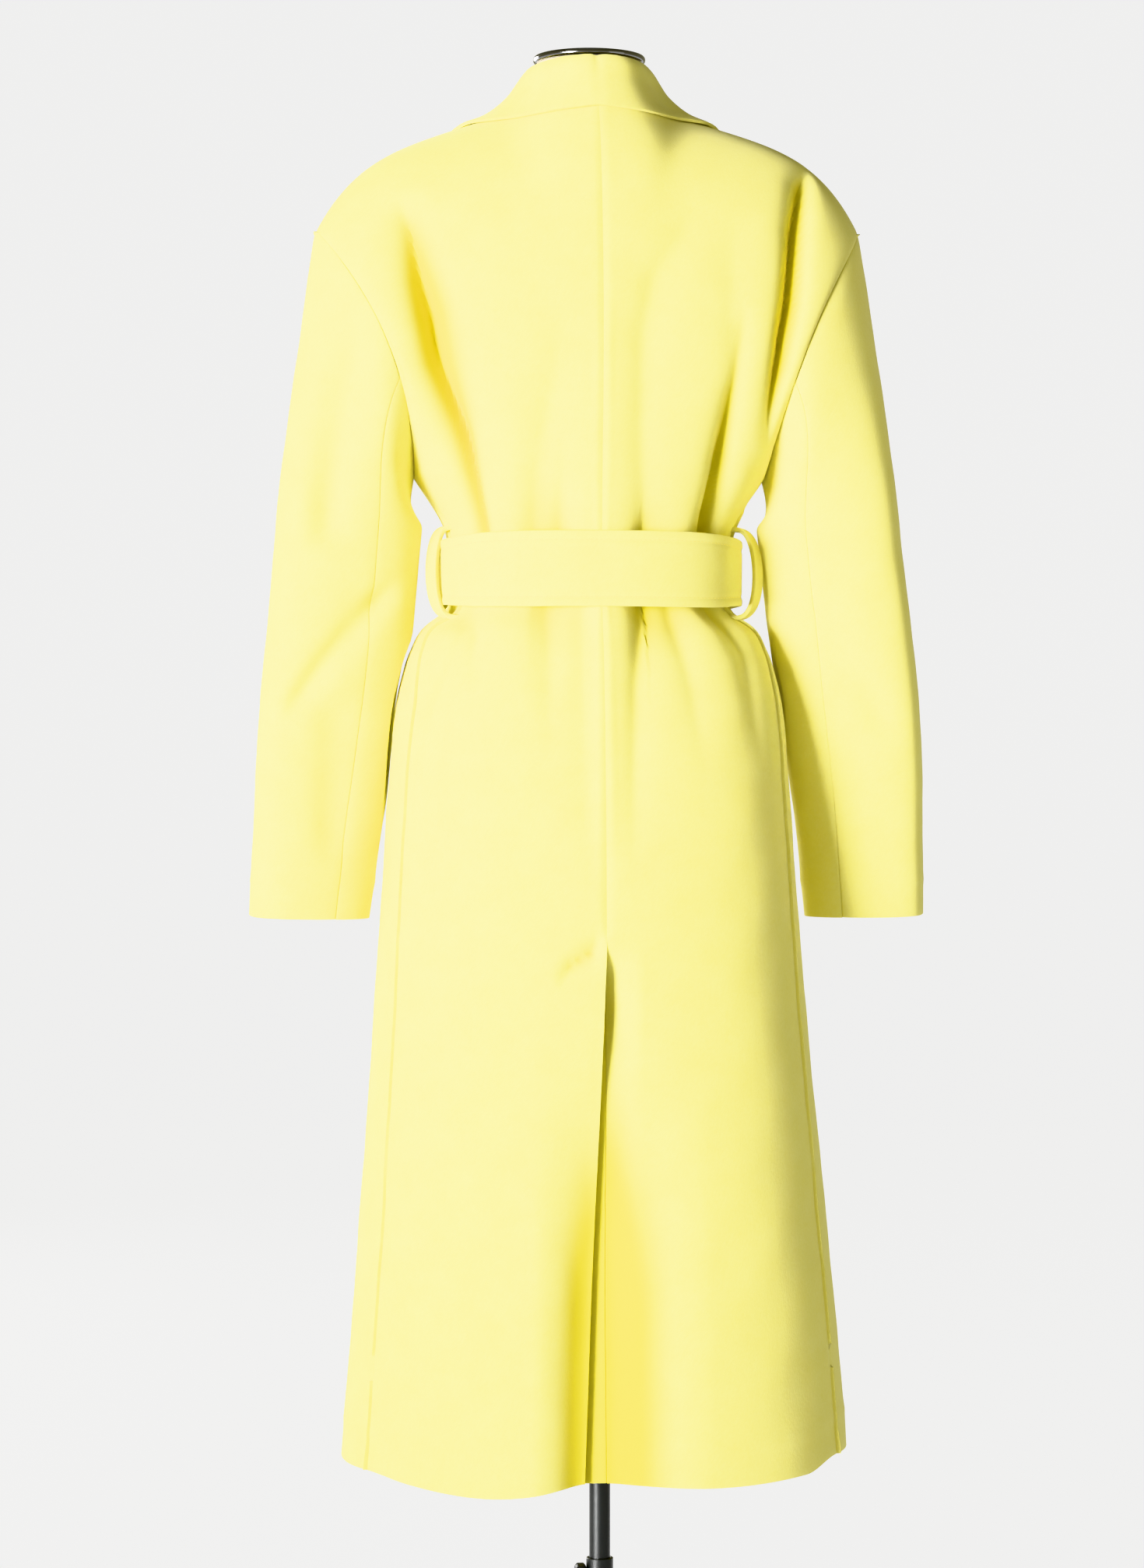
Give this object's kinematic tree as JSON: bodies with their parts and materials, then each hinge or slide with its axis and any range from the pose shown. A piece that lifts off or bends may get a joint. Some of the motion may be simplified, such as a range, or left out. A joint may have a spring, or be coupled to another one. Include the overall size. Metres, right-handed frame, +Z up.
{
  "type": "long belted coat on a dress form",
  "caption": "Long belted wool wrap coat with turned-down collar, dropped shoulders and back vent, worn by a limbless dress form on a height-adjustable pole stand.",
  "frame": {"origin": "on the floor, at the middle of the base under the pole's axis", "axes": "+Z up along the pole; the coat's front faces -Y; the wearer's left is +X"},
  "size_m": [0.5928, 0.3458, 1.56],
  "materials": {
    "yellow_wool": "felted wool, soft matt nap",
    "beige_linen": "plain woven linen, matt",
    "chrome_trim": "polished",
    "black_metal": "satin black",
    "black_plastic": "matt"
  },
  "bodies": {
    "stand": {"base": "black_metal", "outer_tube": "black_metal"},
    "knob": {"clamp_knob": "black_plastic"},
    "mast": {"pole": "black_metal"},
    "form": {"form_torso": "beige_linen", "neck_cap": "chrome_trim", "form_flange": "black_metal", "back_left": "yellow_wool", "back_right": "yellow_wool", "vent_underlap": "yellow_wool", "front_left": "yellow_wool", "front_right": "yellow_wool", "sleeve_top_left": "yellow_wool", "sleeve_under_left": "yellow_wool", "sleeve_top_right": "yellow_wool", "sleeve_under_right": "yellow_wool", "collar": "yellow_wool", "lapel_left": "yellow_wool", "lapel_right": "yellow_wool", "belt": "yellow_wool", "belt_knot": "yellow_wool", "belt_end_left": "yellow_wool", "belt_end_right": "yellow_wool", "belt_loop_left": "yellow_wool", "belt_loop_right": "yellow_wool"}
  },
  "joints": [
    {"name": "pole_height", "type": "slide", "parent": "stand", "child": "mast", "axis": [0, 0, 1], "range_m": [-0.08, 0.1]},
    {"name": "form_swivel", "type": "hinge", "parent": "mast", "child": "form", "pos_m": [0, 0, 0.75], "axis": [0, 0, 1], "continuous": true},
    {"name": "knob_turn", "type": "hinge", "parent": "stand", "child": "knob", "pos_m": [0, 0, 0.243], "axis": [1, 0, 0], "range_deg": [-360, 90]}
  ]
}
